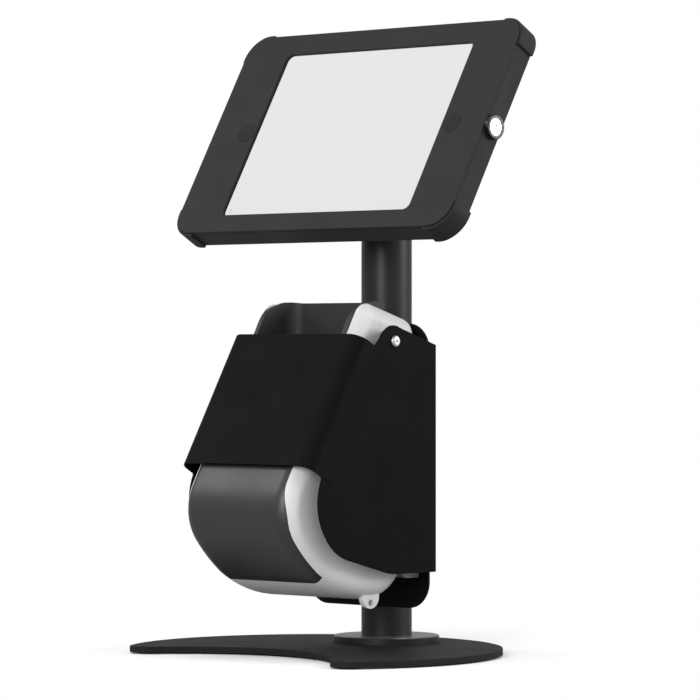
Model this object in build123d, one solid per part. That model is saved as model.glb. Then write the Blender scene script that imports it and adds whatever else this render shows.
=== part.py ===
from build123d import *
import os
from math import cos, radians, sin

# Tablet security kiosk stand with a label printer on its pole.
# Millimetres. +X is the viewer's right, -Y faces the viewer, +Z is up.
# The origin lies on the table, on the pole's axis.

# Shared fits
screw_gap = 0.1            # radial room round a screw's shank
running_gap = 0.05         # radial room round a turning shaft
face_gap = 0.15            # room between faces of pieces that move apart
soft_gap = 0.3             # room round a soft or curved piece
overrun = 2.0              # how far a cut runs past what it cuts

# Base plate, a crescent
base_outer_radius = 150.0
base_outer_setback = 84.0   # the outer arc's centre, in front of the pole
base_bite_radius = 120.0
base_bite_setback = 236.0
base_tip_radius = 15.0
base_thickness = 5.0
base_edge_round = 0.7
pad_height = 1.2
pad_radius = 9.0
pad_edge_margin = 9.0
side_pad_angles = (12, 90, 168)

# Pole and the flange at its foot
pole_radius = 20.5
pole_wall = 2.0
pole_top = 360.0
flange_radius = 42.8
flange_thickness = 5.8
flange_edge_chamfer = 0.8
spigot_height = 22.0
spigot_wall = 5.0
plug_gap = 0.1              # radial room between a plug and the pole's bore
flange_screw_radius = 3.0
flange_screw_circle = 31.0
flange_screw_count = 4
flange_screw_bite = 4.4     # how deep it goes into the flange
flange_screw_head_share = 1.9
flange_screw_sink_share = 0.9

# Tilt head
tilt_angle = 30             # degrees that the tablet leans back at rest
pivot_height = 394.1
pivot_to_back = 34.1        # from the pivot to the enclosure's back
enclosure_off_pole = -2.2   # the enclosure's middle from the pole's axis
head_collar_height = 4.0
head_plug_depth = 26.0
ear_thickness = 5.0
ear_radius = 11.0
ear_gap = 25.0              # between the two ears of the yoke
tilt_bolt_radius = 4.0
tilt_head_radius = 7.0
tilt_head_height = 4.5
tilt_nut_across = 13.0
tilt_nut_height = 6.0
hex_socket_share = 0.5
washer_thickness = 1.0
mount_plate_side = 96.0
mount_plate_thickness = 3.0
mount_plate_round = 10.0
mount_spacing = 75.0
mount_screw_radius = 2.5
mount_head_radius = 4.6
mount_head_height = 2.6
mount_screw_tail = 1.5
neck_height = 20.0
head_screw_radius = 2.5
head_screw_head_radius = 4.5
head_screw_head_height = 2.4
head_screw_length = 8.0
head_screw_drop = 13.0      # below the pole's rim
head_screw_angles = (50, 130)

# Tablet enclosure, drawn flat: x right, y up the slope, z out of its face
enclosure_side_room = 26.15 # past the tablet on the left and right
enclosure_end_room = 8.6    # past the tablet above and below
enclosure_depth = 20.1
enclosure_round = 20.0
shell_wall = 2.0
frame_thickness = 2.2
frame_margin = 0.25         # the frame's outline inside the shell's
frame_edge_round = 0.6
window_side_lap = 21.6      # how far the frame laps over the tablet
window_end_lap = 9.1
window_round = 6.0
window_shift_right = 2.2    # the window's centre from the enclosure's
window_shift_up = -1.5
protector_reach = 23.5      # along each side from the sharp corner
protector_proud = 2.0
protector_end_round = 0.8
protector_setback = 1.3     # its front edge behind the face, past the bead's middle
cover_disc_radius = 8.7
cover_disc_from_window = 10.6
cover_disc_proud = 0.2
cover_disc_stem_radius = 6.5

# Hooks under the frame's left edge, caught by a rail inside the shell
frame_open_angle = 85
hook_places = (-45.0, 0.0, 45.0)
hook_width = 14.0
hook_sheet = 1.5
rail_depth = 2.9            # from the wall inward
rail_thickness = 2.0
rail_below_frame = 2.3
rail_half_length = 60.0
hook_leg_gap = 0.9
hook_foot_gap = 0.6
hook_grip = 0.7             # how far the foot reaches under the rail

# Tablet
tablet_width = 250.6
tablet_height = 174.1
tablet_thickness = 7.5
tablet_round = 11.0
glass_inset = 3.0
glass_thickness = 1.0
display_thickness = 0.6
tablet_air = 0.3            # between the glass and the frame
cradle_side = 30.0
cradle_fence = 3.0
cradle_fence_height = 4.5
cradle_gap = 0.2

# Key lock on the enclosure's right side
lock_flange_radius = 9.7
lock_flange_proud = 3.7
lock_flange_round = 0.8
lock_body_radius = 6.9
lock_body_length = 11.0     # behind the side wall
lock_face_radius = 6.8
lock_face_thickness = 2.4
lock_plug_radius = 5.0
lock_face_recess = 0.5
lock_core_radius = 3.4
lock_core_groove = 0.5
key_slot_width = 1.4
lock_nut_across = 15.4
lock_nut_height = 3.0
cam_thickness = 1.5
cam_length = 7.4
cam_half_width = 2.5
cam_screw_radius = 1.5
cam_screw_head_radius = 2.6
cam_screw_head_height = 1.6
keeper_thickness = 1.6
keeper_width = 8.0
keeper_gap = 0.5

# Printer bracket behind the printer
bracket_half_width = 66.5
bracket_thickness = 2.0
bracket_bottom = 36.6
bracket_top = 264.0
bracket_round = 22.0
arm_end_radius = 10.0
arm_root_low = 214.0
arm_root_high = 243.0
strap_thickness = 2.5
strap_height = 24.0
strap_ear_width = 16.0
strap_heights = (104.0, 216.0)
clamp_screw_radius = 2.5
clamp_screw_head_share = 1.9
clamp_screw_sink_share = 0.55
clamp_nut_across = 8.0
clamp_nut_height = 4.0
clamp_screw_tail = 1.5

# Shroud, one bent sheet round the printer, hung on two pins
shroud_half_width = 72.0
shroud_sheet = 1.5
shroud_front = 220.0        # the front plate from the origin, square to it
shroud_bend_radius = 12.0
shroud_fold = 203.0         # where the side plates' outline meets the front plate's
shroud_top = 168.0          # the front plate's edges, measured along its slope
shroud_bottom = 50.6
shroud_rear = 19.4          # the side plates' rear edge, in front of the pole
shroud_low = 66.5
slit_width = 0.6
slit_length = 13.0
pin_forward = 67.2
pin_height = 249.7
pin_radius = 2.5
pin_head_radius = 4.7
pin_head_height = 2.4
pin_tail_radius = 3.6
pin_tail_height = 1.4
pin_dimple_radius = 0.9
pin_dome_share = 0.8
bumper_radius = 5.0
bumper_side = 30.0
bumper_slope_place = 100.0
bumper_air = 0.3
shroud_open_angle = 75

# The side plates' outline as shares of their depth and height, bottom edge
# first, then the nose, and last the lug round the pin
shroud_depth = 133.7        # from the rear edge to the nose
shroud_side_height = 196.0
side_heel_share = (0.345, 0.0)
side_heel_end_share = (0.440, 0.009)
side_chin_share = (0.748, 0.064)
side_cheek_share = (0.941, 0.163)
side_nose_share = (1.0, 0.278)
side_slit_share = (0.969, 0.391)
lug_rise_share = (0.519, 0.920)
lug_front_share = (0.449, 0.972)
lug_top_share = (0.384, 0.998)
lug_back_share = (0.318, 0.990)
side_rear_top_share = 0.920

# Label printer, standing on its end, its underside to the bracket
printer_half_width = 59.0
printer_back = 24.5         # its flat underside, in front of the pole's axis
printer_depth = 150.3
printer_low = 46.3
printer_length = 231.1
printer_wall = 3.0
printer_flank_round = 14.5
printer_hollow_round = 8.0   # of the same edges on the inside
cover_half_width = 54.7
cover_top_half_width = 50.5
cover_taper_shares = (0.28, 0.42)   # where the cover narrows, of the length
cover_seam = 0.3
case_seam = 0.2

# The printer's outline as shares of its depth, forward, and length, upward
heel_top_share = (0.0, 0.137)
heel_front_share = (0.075, 0.128)
heel_mid_share = (0.150, 0.048)
sole_share = (0.345, 0.0)
chin_share = (0.762, 0.0815)
jowl_share = (0.939, 0.193)
nose_share = (1.0, 0.306)
brow_share = (0.959, 0.4055)
shoulder_share = (0.4476, 0.9804)
shoulder_mid_share = (0.3945, 1.0102)
crown_share = (0.3245, 1.0120)
nape_share = (0.057, 0.959)
nape_mid_share = (0.0166, 0.942)
back_top_share = (0.0, 0.908)

# Seams between the printer's shells, in the same shares
base_seam_shares = ((0.301, 1.2), (0.301, 0.293), (0.596, 0.125), (0.895, -0.05))
cover_seam_shares = ((0.714, -0.1), (0.714, 0.232), (0.236, 0.765), (0.236, 1.2))
exit_front_shares = ((0.513, 0.907), (0.494, 0.930), (0.438, 0.981), (0.364, 1.003))
exit_top_share = (0.2845, 1.016)
exit_rim_share = (0.2304, 1.013)
exit_floor_share = 0.826
exit_half_width = 50.5
exit_corner_round = 12.0
exit_ear_round = 3.0
exit_wall = 3.0
exit_cheek = 4.0
exit_slot = 4.0

# Printer insides
roll_place_share = (0.536, 0.328)
roll_radius = 42.0
roll_width = 62.0
roll_core_radius = 12.5
spool_flange_radius = 46.0
spool_flange_thickness = 2.5
spool_shaft_radius = 6.0
platen_place_share = (0.370, 0.757)
platen_radius = 7.0
platen_length = 66.0
platen_shaft_radius = 3.0
side_frame_half_gap = 38.0
side_frame_thickness = 3.0
side_frame_shares = (0.17, 0.80)
side_frame_reach = 11.0
tie_bar_radius = 3.0
tie_bar_shares = ((0.114, 0.25), (0.114, 0.72))
head_block_depth = 8.0
head_block_height = 14.0
cutter_depth = 22.0
cutter_height = 4.0
motor_radius = 14.0
motor_length = 40.0
motor_place_share = (0.2845, 0.60)
board_thickness = 1.6
board_half_width = 34.0
board_shares = (0.21, 0.80)
board_standoff = 3.0
tear_bar_height = 5.0
tear_bar_thickness = 1.0
foot_radius = 7.0
foot_inset = 22.0
foot_high_share = 0.86
foot_low_share = 0.20
printer_screw_radius = 2.0
printer_screw_side = 46.5
printer_screw_head_radius = 4.0
printer_screw_head_height = 2.2
printer_screw_heights = (140.0, 180.0)
printer_screw_boss_radius = 5.0
printer_screw_boss_height = 8.0
button_radius = 4.5
button_stem = 4.0
button_proud = 0.8
button_side = 22.0
button_slope_place = 128.0
button_travel = 0.8
button_collar = 0.8
ear_place_share = (0.341, 0.009)
lashing_ear_radius = 9.5
lashing_hole_radius = 2.6
lashing_hole_drop = 4.9
lashing_ear_thickness = 4.0
lashing_ear_side = 50.0
rear_foot_radius = 9.0
rear_foot_share = (0.071, 0.105)
rear_foot_sides = (38.0, 56.0)

# Worked-out places
enclosure_width = tablet_width + 2 * enclosure_side_room
enclosure_height = tablet_height + 2 * enclosure_end_room
window_width = tablet_width - 2 * window_side_lap
window_height = tablet_height - 2 * window_end_lap
tilt = radians(tilt_angle)
plate_bottom = pad_height
plate_top = plate_bottom + base_thickness
flange_top = plate_top + flange_thickness
back_to_face = pivot_to_back + enclosure_depth
face_centre = (enclosure_off_pole, -back_to_face * cos(tilt), pivot_height + back_to_face * sin(tilt))
face_plane = Plane(origin=face_centre, x_dir=(1, 0, 0), z_dir=(0, -cos(tilt), sin(tilt)))
slope_plane = Plane(origin=(0, 0, 0), x_dir=(1, 0, 0), z_dir=(0, sin(tilt), cos(tilt)))
half_enclosure_width = enclosure_width / 2
half_enclosure_height = enclosure_height / 2
seam_depth = frame_thickness + face_gap
shell_floor = -enclosure_depth + shell_wall
lock_z = -enclosure_depth / 2
tablet_front = -frame_thickness - tablet_air
tablet_back = tablet_front - tablet_thickness
bracket_rear = pole_radius
bracket_front = bracket_rear + bracket_thickness
pin_place = (-pin_forward, pin_height)
strap_half = pole_radius + strap_thickness + strap_ear_width / 2
shroud_inner_half = shroud_half_width - shroud_sheet
printer_slant = ((printer_back + brow_share[0] * printer_depth) * cos(tilt)
                 + (printer_low + brow_share[1] * printer_length) * sin(tilt))


def across_x(face, start, end):
    """Extrude a flat outline, drawn with x as Y and y as Z, from X start to X end."""
    return Pos(start, 0, 0) * extrude(Plane.YZ * face, amount=end - start)


def rod_x(radius, start, end, y, z):
    """A round bar along X at one Y and Z."""
    return Pos(start, y, z) * Rot(0, 90, 0) * Cylinder(
        radius, end - start, align=(Align.CENTER, Align.CENTER, Align.MIN))


def rod_y(radius, start, end, x, z):
    """A round bar along Y at one X and Z."""
    return Pos(x, start, z) * Rot(-90, 0, 0) * Cylinder(
        radius, end - start, align=(Align.CENTER, Align.CENTER, Align.MIN))


def rod_z(radius, low, high, x, y):
    """A round bar along Z at one X and Y."""
    return Pos(x, y, low) * Cylinder(radius, high - low, align=(Align.CENTER, Align.CENTER, Align.MIN))


def block(x0, x1, y0, y1, z0, z1):
    """A box given by its limits."""
    return Pos(x0, y0, z0) * Box(x1 - x0, y1 - y0, z1 - z0, align=(Align.MIN, Align.MIN, Align.MIN))


def hex_bar(across, height):
    """A hexagonal nut blank standing on the XY plane."""
    return extrude(RegularPolygon(across / 2, 6, major_radius=False), amount=height)


def countersunk(radius, head_radius, sink, length):
    """A countersunk screw: its head's top on the XY plane, its shank downward."""
    head = Cone(radius, head_radius, sink, align=(Align.CENTER, Align.CENTER, Align.MAX))
    shank = Cylinder(radius, length, align=(Align.CENTER, Align.CENTER, Align.MAX))
    return head + shank


def together(shapes):
    """Separate solids kept as one node."""
    return Compound(children=list(shapes))


def circle_places(radius, count):
    """Evenly spaced points on a circle, the first at 45 degrees."""
    return [(radius * cos(radians(45 + 360 * i / count)), radius * sin(radians(45 + 360 * i / count)))
            for i in range(count)]


# Stand

def tip_centre():
    """Centre of the right tip's rounding, where it touches both arcs from inside the crescent."""
    apart = base_bite_setback - base_outer_setback
    to_outer = base_outer_radius - base_tip_radius
    to_bite = base_bite_radius + base_tip_radius
    along = (apart ** 2 + to_outer ** 2 - to_bite ** 2) / (2 * apart)
    return (to_outer ** 2 - along ** 2) ** 0.5, -base_outer_setback - along


def make_base_plate():
    """Steel crescent with its tips rounded and four countersinks below."""
    outline = Pos(0, -base_outer_setback) * Circle(base_outer_radius)
    outline -= Pos(0, -base_bite_setback) * Circle(base_bite_radius)
    tips = outline.vertices().filter_by(lambda v: abs(v.X) > base_tip_radius)
    plate = Pos(0, 0, plate_bottom) * extrude(fillet(tips, base_tip_radius), amount=base_thickness)
    plate = fillet(plate.edges().group_by(Axis.Z)[-1], base_edge_round)
    head = flange_screw_radius * flange_screw_head_share
    sink = flange_screw_radius * flange_screw_sink_share
    hole = countersunk(flange_screw_radius + screw_gap, head + screw_gap, sink, base_thickness + overrun)
    for x, y in circle_places(flange_screw_circle, flange_screw_count):
        plate -= Pos(x, y, plate_bottom) * Rot(180, 0, 0) * hole
    return plate


def make_base_pads():
    """Six rubber pads: one in each tip, one under the pole and three along the outer arc."""
    x, y = tip_centre()
    places = [(x, y), (-x, y), (0, 0)]
    arc = base_outer_radius - pad_radius - pad_edge_margin
    for angle in side_pad_angles:
        places.append((arc * cos(radians(angle)), arc * sin(radians(angle)) - base_outer_setback))
    return together(rod_z(pad_radius, 0, pad_height, px, py) for px, py in places)


def make_pole_flange():
    """Disc under the pole with a spigot that goes into its bore."""
    disc = rod_z(flange_radius, plate_top, flange_top, 0, 0)
    disc = chamfer(disc.edges().group_by(Axis.Z)[-1], flange_edge_chamfer)
    bore = pole_radius - pole_wall - plug_gap
    disc += rod_z(bore, flange_top, flange_top + spigot_height, 0, 0)
    disc -= rod_z(bore - spigot_wall, flange_top, flange_top + spigot_height + overrun, 0, 0)
    for x, y in circle_places(flange_screw_circle, flange_screw_count):
        disc -= rod_z(flange_screw_radius + screw_gap, plate_top,
                      plate_top + flange_screw_bite + face_gap, x, y)
    return disc


def make_flange_screws():
    """Four countersunk screws up through the base plate."""
    head = flange_screw_radius * flange_screw_head_share
    sink = flange_screw_radius * flange_screw_sink_share
    screw = countersunk(flange_screw_radius, head, sink, base_thickness + flange_screw_bite)
    socket = flange_screw_radius * hex_socket_share
    screw -= Pos(0, 0, -sink) * extrude(RegularPolygon(socket, 6), amount=sink + overrun)
    return together(Pos(x, y, plate_bottom) * Rot(180, 0, 0) * screw
                    for x, y in circle_places(flange_screw_circle, flange_screw_count))


def make_pole_tube():
    """Round steel tube, drilled near its rim for the head screws."""
    tube = rod_z(pole_radius, flange_top, pole_top, 0, 0)
    tube -= rod_z(pole_radius - pole_wall, flange_top - overrun, pole_top + overrun, 0, 0)
    for angle in head_screw_angles:
        tube -= head_screw_place(angle) * Cylinder(head_screw_radius + screw_gap, 2 * pole_wall + 2 * overrun)
    return tube


def head_screw_place(angle):
    """On the pole's rear wall, local z pointing out of the pole."""
    out = Plane(origin=(pole_radius * cos(radians(angle)), pole_radius * sin(radians(angle)),
                        pole_top - head_screw_drop),
                z_dir=(cos(radians(angle)), sin(radians(angle)), 0))
    return out.location


def make_head_screws():
    """Two button-head screws that hold the head in the pole."""
    head = rod_z(head_screw_head_radius, 0, head_screw_head_height, 0, 0)
    head = fillet(head.edges().group_by(Axis.Z)[-1], head_screw_head_height * hex_socket_share)
    head += Cylinder(head_screw_radius, head_screw_length, align=(Align.CENTER, Align.CENTER, Align.MAX))
    deep = head_screw_head_height * hex_socket_share
    head -= Pos(0, 0, head_screw_head_height - deep) * extrude(
        RegularPolygon(head_screw_radius * hex_socket_share, 6), amount=deep + overrun)
    return together(head_screw_place(angle) * head for angle in head_screw_angles)


def make_head_socket():
    """Plug in the pole's top with a collar and the yoke's two ears."""
    collar_top = pole_top + head_collar_height
    bore = pole_radius - pole_wall - plug_gap
    socket = rod_z(bore, pole_top - head_plug_depth, pole_top, 0, 0)
    socket += rod_z(pole_radius, pole_top, collar_top, 0, 0)
    half = ear_gap / 2
    for start in (half, -half - ear_thickness):
        socket += block(start, start + ear_thickness, -ear_radius, ear_radius, collar_top, pivot_height)
        socket += rod_x(ear_radius, start, start + ear_thickness, 0, pivot_height)
    reach = half + ear_thickness + overrun
    socket -= rod_x(tilt_bolt_radius + screw_gap, -reach, reach, 0, pivot_height)
    for angle in head_screw_angles:
        deep = head_screw_length + face_gap
        socket -= head_screw_place(angle) * Cylinder(head_screw_radius + screw_gap, deep,
                                                     align=(Align.CENTER, Align.CENTER, Align.MAX))
    return socket


def make_tilt_bolt():
    """Socket-head bolt through the yoke, its head on the right."""
    side = ear_gap / 2 + ear_thickness
    bolt = rod_x(tilt_bolt_radius, -side - tilt_nut_height, side, 0, pivot_height)
    bolt += rod_x(tilt_head_radius, side, side + tilt_head_height, 0, pivot_height)
    deep = tilt_head_height * hex_socket_share
    socket = extrude(RegularPolygon(tilt_bolt_radius, 6, major_radius=False), amount=deep + overrun)
    return bolt - Pos(side + tilt_head_height - deep, 0, pivot_height) * Rot(0, 90, 0) * socket


def make_tilt_nut():
    """Nut on the left end of the tilt bolt."""
    side = ear_gap / 2 + ear_thickness
    nut = hex_bar(tilt_nut_across, tilt_nut_height)
    nut -= Cylinder(tilt_bolt_radius + running_gap, 2 * tilt_nut_height + overrun)
    return Pos(-side, 0, pivot_height) * Rot(0, -90, 0) * nut


# Tilting bracket behind the enclosure

def make_tilt_washers():
    """Two friction washers between the knuckle and the ears."""
    ring = rod_x(ear_radius, 0, washer_thickness, 0, pivot_height)
    ring -= rod_x(tilt_bolt_radius + running_gap, -overrun, washer_thickness + overrun, 0, pivot_height)
    start = ear_gap / 2 - running_gap - washer_thickness
    return together((Pos(start, 0, 0) * ring, Pos(-start - washer_thickness, 0, 0) * ring))


def make_tilt_bracket():
    """Knuckle on the bolt, its neck and the square plate on the enclosure's back."""
    half = ear_gap / 2 - running_gap - washer_thickness
    knuckle = rod_x(ear_radius, -half, half, 0, pivot_height)
    plate_back = -enclosure_depth - mount_plate_thickness
    neck = block(-half - enclosure_off_pole, half - enclosure_off_pole, -neck_height / 2, neck_height / 2,
                 -back_to_face, plate_back)
    plate = extrude(RectangleRounded(mount_plate_side, mount_plate_side, mount_plate_round),
                    amount=mount_plate_thickness)
    bracket = knuckle + face_plane.location * (neck + Pos(0, 0, plate_back) * plate)
    bracket -= rod_x(tilt_bolt_radius + running_gap, -half - overrun, half + overrun, 0, pivot_height)
    for x, y in mount_places():
        bracket -= face_plane.location * rod_z(mount_screw_radius + screw_gap, plate_back - overrun,
                                               plate_back + mount_plate_thickness + overrun, x, y)
    return bracket


def mount_places():
    """The four screws of the plate, at the corners of a square."""
    half = mount_spacing / 2
    return [(x, y) for x in (-half, half) for y in (-half, half)]


def make_mount_screws():
    """Four pan-head screws through the plate into the shell's back."""
    plate_back = -enclosure_depth - mount_plate_thickness
    tip = shell_floor + mount_screw_tail
    screws = []
    for x, y in mount_places():
        screw = rod_z(mount_head_radius, plate_back - mount_head_height, plate_back, x, y)
        screw = fillet(screw.edges().group_by(Axis.Z)[0], mount_head_height * hex_socket_share)
        screw += rod_z(mount_screw_radius, plate_back, tip, x, y)
        screws.append(face_plane.location * screw)
    return together(screws)


# Enclosure

def rounded_plate(width, height, corner, low, high):
    """A rounded rectangle between two z levels of the enclosure's own frame."""
    return Pos(0, 0, low) * extrude(RectangleRounded(width, height, corner), amount=high - low)


def hook_rail():
    """Bar along the inside of the left wall."""
    wall = -half_enclosure_width + shell_wall
    top = -frame_thickness - rail_below_frame
    return block(wall - overrun / 2, wall + rail_depth, -rail_half_length, rail_half_length,
                 top - rail_thickness, top)


def make_frame_hooks():
    """L-shaped hooks on the frame's back, their feet just under the rail."""
    rail_end = -half_enclosure_width + shell_wall + rail_depth
    leg = rail_end + hook_leg_gap
    foot_top = -frame_thickness - rail_below_frame - rail_thickness - hook_foot_gap
    hooks = []
    for y in hook_places:
        low = y - hook_width / 2
        high = y + hook_width / 2
        hook = block(leg, leg + hook_sheet, low, high, foot_top - hook_sheet, -frame_thickness)
        foot = block(rail_end - hook_grip, leg, low, high, foot_top - hook_sheet, foot_top)
        hooks.append(face_plane.location * (hook + foot))
    return together(hooks)


def make_enclosure_shell():
    """Tray behind the tablet, with the hook rail on the left and the lock's hole on the right."""
    shell = rounded_plate(enclosure_width, enclosure_height, enclosure_round, -enclosure_depth, -seam_depth)
    shell = fillet(shell.edges().group_by(Axis.Z)[0], frame_edge_round)
    shell -= rounded_plate(enclosure_width - 2 * shell_wall, enclosure_height - 2 * shell_wall,
                           enclosure_round - shell_wall, shell_floor, 0)
    shell += hook_rail()
    shell -= Pos(half_enclosure_width, 0, lock_z) * Rot(0, 90, 0) * Cylinder(
        lock_body_radius + screw_gap, 2 * shell_wall + 2 * overrun)
    for x, y in mount_places():
        shell -= rod_z(mount_screw_radius + screw_gap, -enclosure_depth - overrun,
                       shell_floor + overrun, x, y)
    return face_plane.location * shell


def make_front_frame():
    """Front plate with the window and a round bead along its left edge, on which it swings."""
    frame = rounded_plate(enclosure_width - 2 * frame_margin, enclosure_height - 2 * frame_margin,
                          enclosure_round - frame_margin, -frame_thickness, 0)
    frame = fillet(frame.edges().group_by(Axis.Z)[-1], frame_edge_round)
    window = RectangleRounded(window_width, window_height, window_round)
    frame -= Pos(window_shift_right, window_shift_up, -frame_thickness - overrun) * extrude(
        window, amount=frame_thickness + 2 * overrun)
    for x in cover_disc_places():
        frame -= rod_z(cover_disc_stem_radius + screw_gap, -frame_thickness - overrun, overrun, x, 0)
    bead = frame_thickness / 2
    left = -half_enclosure_width + frame_margin
    straight = half_enclosure_height - enclosure_round
    frame -= block(left - overrun, left + bead, -enclosure_height, enclosure_height,
                   -frame_thickness - overrun, overrun)
    rod = Rot(-90, 0, 0) * Cylinder(bead, 2 * straight)
    return face_plane.location * (frame + Pos(left + bead, 0, -bead) * rod)


def cam_plane_x():
    """Where the cam's outer face lies, behind the lock's body."""
    return half_enclosure_width - shell_wall - lock_body_length


def make_frame_keeper():
    """J-shaped keeper under the frame; the turned cam lies over its foot."""
    x1 = cam_plane_x() - keeper_gap
    x0 = x1 - keeper_width
    foot_top = lock_z - cam_half_width - keeper_gap
    foot_low = foot_top - keeper_thickness
    leg = cam_length + keeper_gap + keeper_thickness
    foot_start = cam_half_width + keeper_thickness
    hook = block(x0, x1, leg, leg + keeper_thickness, foot_low, -frame_thickness)
    return face_plane.location * (hook + block(x0, x1, foot_start, leg, foot_low, foot_top))


def cover_disc_places():
    """X of the discs over the home button and the camera."""
    left = window_shift_right - window_width / 2 - cover_disc_from_window
    right = window_shift_right + window_width / 2 + cover_disc_from_window
    return left, right


def make_cover_disc(x):
    """A thin disc on the frame with a stem in its hole."""
    disc = rod_z(cover_disc_radius, 0, cover_disc_proud, x, 0)
    disc += rod_z(cover_disc_stem_radius, -frame_thickness, 0, x, 0)
    return face_plane.location * disc


def make_corner_protector(side, level):
    """Band round one corner, proud of the walls from the back to just short of the face."""
    outer = rounded_plate(enclosure_width + 2 * protector_proud, enclosure_height + 2 * protector_proud,
                          enclosure_round + protector_proud, -enclosure_depth, -protector_setback)
    outer = fillet(outer.edges().group_by(Axis.Z)[-1], protector_end_round)
    outer -= rounded_plate(enclosure_width, enclosure_height, enclosure_round,
                           -enclosure_depth - overrun, overrun)
    far = enclosure_width
    keep = block(half_enclosure_width - protector_reach, far,
                 half_enclosure_height - protector_reach, far, -far, far)
    corner = outer & keep
    if side < 0:
        corner = mirror(corner, about=Plane.YZ)
    if level < 0:
        corner = mirror(corner, about=Plane.XZ)
    return face_plane.location * corner


# Tablet

def make_tablet_body():
    """Tablet case with pockets for the glass and the display."""
    body = rounded_plate(tablet_width, tablet_height, tablet_round, tablet_back, tablet_front)
    body = fillet(body.edges().group_by(Axis.Z)[0], tablet_thickness * hex_socket_share)
    body -= glass_blank(overrun)
    body -= display_blank()
    return on_window(body)


def glass_blank(extra):
    """The glass, with what a cut needs past its face."""
    return rounded_plate(tablet_width - 2 * glass_inset, tablet_height - 2 * glass_inset,
                         tablet_round - glass_inset, tablet_front - glass_thickness, tablet_front + extra)


def display_blank():
    """The lit panel under the glass."""
    back = tablet_front - glass_thickness
    return rounded_plate(window_width, window_height, window_round, back - display_thickness, back)


def on_window(shape):
    """Move a piece drawn about the window's centre into place."""
    return face_plane.location * Pos(window_shift_right, window_shift_up, 0) * shape


def make_cradle_corners():
    """Four padded corner blocks between the shell's back and the tablet."""
    half_x = tablet_width / 2 + cradle_gap
    half_y = tablet_height / 2 + cradle_gap
    corner = block(half_x - cradle_side, half_x + cradle_fence, half_y - cradle_side, half_y + cradle_fence,
                   shell_floor, tablet_back)
    fence = block(half_x - cradle_side, half_x + cradle_fence, half_y - cradle_side, half_y + cradle_fence,
                  tablet_back, tablet_back + cradle_fence_height)
    fence -= rounded_plate(2 * half_x, 2 * half_y, tablet_round + cradle_gap,
                           tablet_back, tablet_back + cradle_fence_height + overrun)
    corner += fence
    right = together((corner, mirror(corner, about=Plane.XZ)))
    left = mirror(right, about=Plane.YZ)
    return together(on_window(solid) for half in (right, left) for solid in half.solids())


# Lock

def lock_place():
    """On the right side wall's outer face, local z pointing out of it."""
    return face_plane.location * Pos(half_enclosure_width, 0, lock_z) * Rot(0, 90, 0)


def lock_rod(radius, low, high):
    """A round bar on the lock's axis, in the lock's own frame."""
    return rod_z(radius, low, high, 0, 0)


def make_lock_barrel():
    """Outer barrel: its flange on the wall and its threaded body inside."""
    inner_end = -shell_wall - lock_body_length
    flange = lock_rod(lock_flange_radius, 0, lock_flange_proud)
    flange = fillet(flange.edges().group_by(Axis.Z)[-1], lock_flange_round)
    barrel = flange + lock_rod(lock_body_radius, inner_end, 0)
    barrel -= lock_rod(lock_plug_radius + running_gap, inner_end - overrun, lock_flange_proud + overrun)
    seat = lock_flange_proud - lock_face_recess - lock_face_thickness - face_gap
    barrel -= lock_rod(lock_face_radius + running_gap, seat, lock_flange_proud + overrun)
    return lock_place() * barrel


def make_lock_nut():
    """Thin hexagonal nut inside the side wall."""
    nut = hex_bar(lock_nut_across, lock_nut_height)
    nut -= Cylinder(lock_body_radius + running_gap, 2 * lock_nut_height + overrun)
    return lock_place() * Pos(0, 0, -shell_wall - lock_nut_height) * Rot(0, 0, 30) * nut


def make_lock_plug():
    """Bright turning plug with a ring groove and a key slot in its face."""
    front = lock_flange_proud - lock_face_recess
    back = -shell_wall - lock_body_length
    plug = lock_rod(lock_plug_radius, back, front)
    plug += lock_rod(lock_face_radius, front - lock_face_thickness, front)
    groove = lock_rod(lock_core_radius, front - lock_core_groove, front + overrun)
    groove -= lock_rod(lock_core_radius - lock_core_groove, front - 2 * lock_core_groove, front + 2 * overrun)
    slot_half = lock_core_radius - 2 * lock_core_groove
    slot = block(-key_slot_width / 2, key_slot_width / 2, -slot_half, slot_half,
                 front - lock_flange_proud, front + overrun)
    plug -= groove
    plug -= slot
    plug -= lock_rod(cam_screw_radius + screw_gap, back - overrun, back + lock_body_length / 2)
    return lock_place() * plug


def make_lock_cam():
    """Blade on the plug's end; at rest it points to the frame, unlocked."""
    outer = -shell_wall - lock_body_length
    low = outer - cam_thickness
    cam = lock_rod(cam_half_width, low, outer)
    cam += block(-cam_length, 0, -cam_half_width, cam_half_width, low, outer)
    cam -= lock_rod(cam_screw_radius + screw_gap, low - overrun, outer + overrun)
    return lock_place() * cam


def make_cam_screw():
    """Screw that holds the cam on the plug."""
    outer = -shell_wall - lock_body_length
    low = outer - cam_thickness
    screw = lock_rod(cam_screw_head_radius, low - cam_screw_head_height, low)
    return lock_place() * (screw + lock_rod(cam_screw_radius, low, outer + lock_body_length / 3))


# Printer bracket on the pole

def make_printer_bracket():
    """Back plate against the pole with an arm bent forward on each side for the pins."""
    height = bracket_top - bracket_bottom
    outline = RectangleRounded(2 * bracket_half_width, height, bracket_round)
    plate = Pos(0, -bracket_rear, bracket_bottom + height / 2) * Rot(90, 0, 0) * extrude(
        outline, amount=bracket_thickness)
    for side in (-1, 1):
        plate += bracket_arm(side)
    head = clamp_screw_radius * clamp_screw_head_share
    sink = clamp_screw_radius * clamp_screw_sink_share
    hole = countersunk(clamp_screw_radius + screw_gap, head + screw_gap, sink, bracket_thickness + overrun)
    for x, z in clamp_places():
        plate -= Pos(x, -bracket_front, z) * Rot(90, 0, 0) * hole
    for z in printer_screw_heights:
        for x in (-printer_screw_side, printer_screw_side):
            plate -= rod_y(printer_screw_radius + screw_gap, -bracket_front - overrun,
                           -bracket_rear + overrun, x, z)
    return plate


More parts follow.
